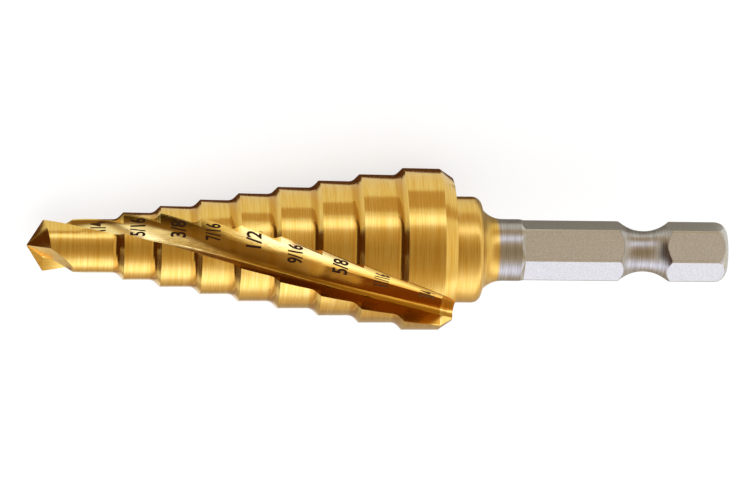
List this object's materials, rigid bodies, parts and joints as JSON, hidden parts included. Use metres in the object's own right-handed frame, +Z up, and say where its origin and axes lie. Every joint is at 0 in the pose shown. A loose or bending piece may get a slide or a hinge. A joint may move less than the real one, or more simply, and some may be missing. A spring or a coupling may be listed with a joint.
{
  "type": "step drill",
  "caption": "Stepped drill bit with spiral flutes, a split point, a coated body with a round collar, and a bare hexagonal quick-change shank with a locking groove.",
  "frame": {"origin": "on the ground, under the middle of the part's bounding box", "axes": "+Z up as the drill lies at rest, +X along the drill's length from the point towards the shank, which is raised 6.8 degrees"},
  "size_m": [0.0822, 0.019, 0.0189],
  "materials": {
    "coated_steel": "Gold titanium-nitride coating over fine turning and grinding lines on the steps, flutes and collar; bare matte grey steel on the neck and the hexagonal shank."
  },
  "bodies": {
    "root": {"step_drill": "coated_steel"}
  },
  "joints": []
}
